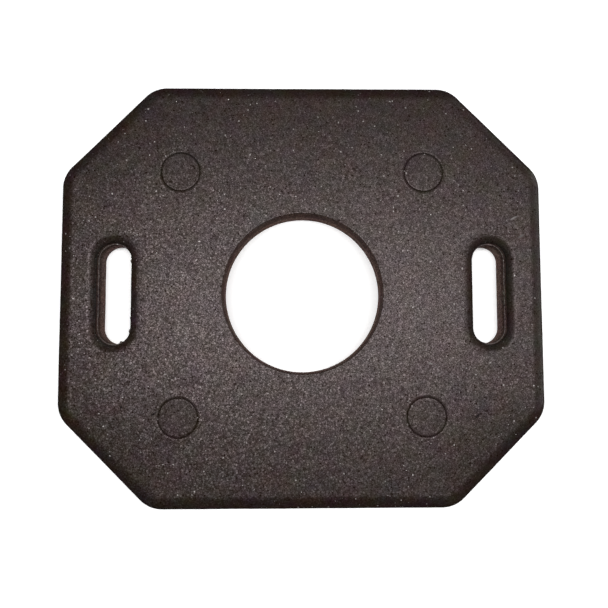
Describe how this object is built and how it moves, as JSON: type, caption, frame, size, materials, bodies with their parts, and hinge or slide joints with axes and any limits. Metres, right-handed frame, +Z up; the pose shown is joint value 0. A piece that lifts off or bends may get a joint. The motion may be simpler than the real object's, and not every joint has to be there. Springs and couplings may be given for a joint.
{
  "type": "delineator base",
  "caption": "Octagonal moulded rubber base with a round post bore, hand slots and flush corner plugs, laid on the road to weigh down a delineator post.",
  "frame": {"origin": "centre of the post bore on the road face, the underside", "axes": "+X along the long side, through the right hand slot; +Y towards the rear long side; +Z up, out of the top face"},
  "size_m": [0.4064, 0.3556, 0.0286],
  "materials": {
    "crumb_rubber": "matt moulded crumb rubber with a fine pale fleck",
    "plug_rubber": "matt smooth moulded rubber"
  },
  "bodies": {
    "root": {"base_slab": "crumb_rubber", "corner_plug_front_left": "plug_rubber", "corner_plug_front_right": "plug_rubber", "corner_plug_rear_left": "plug_rubber", "corner_plug_rear_right": "plug_rubber"}
  },
  "joints": []
}
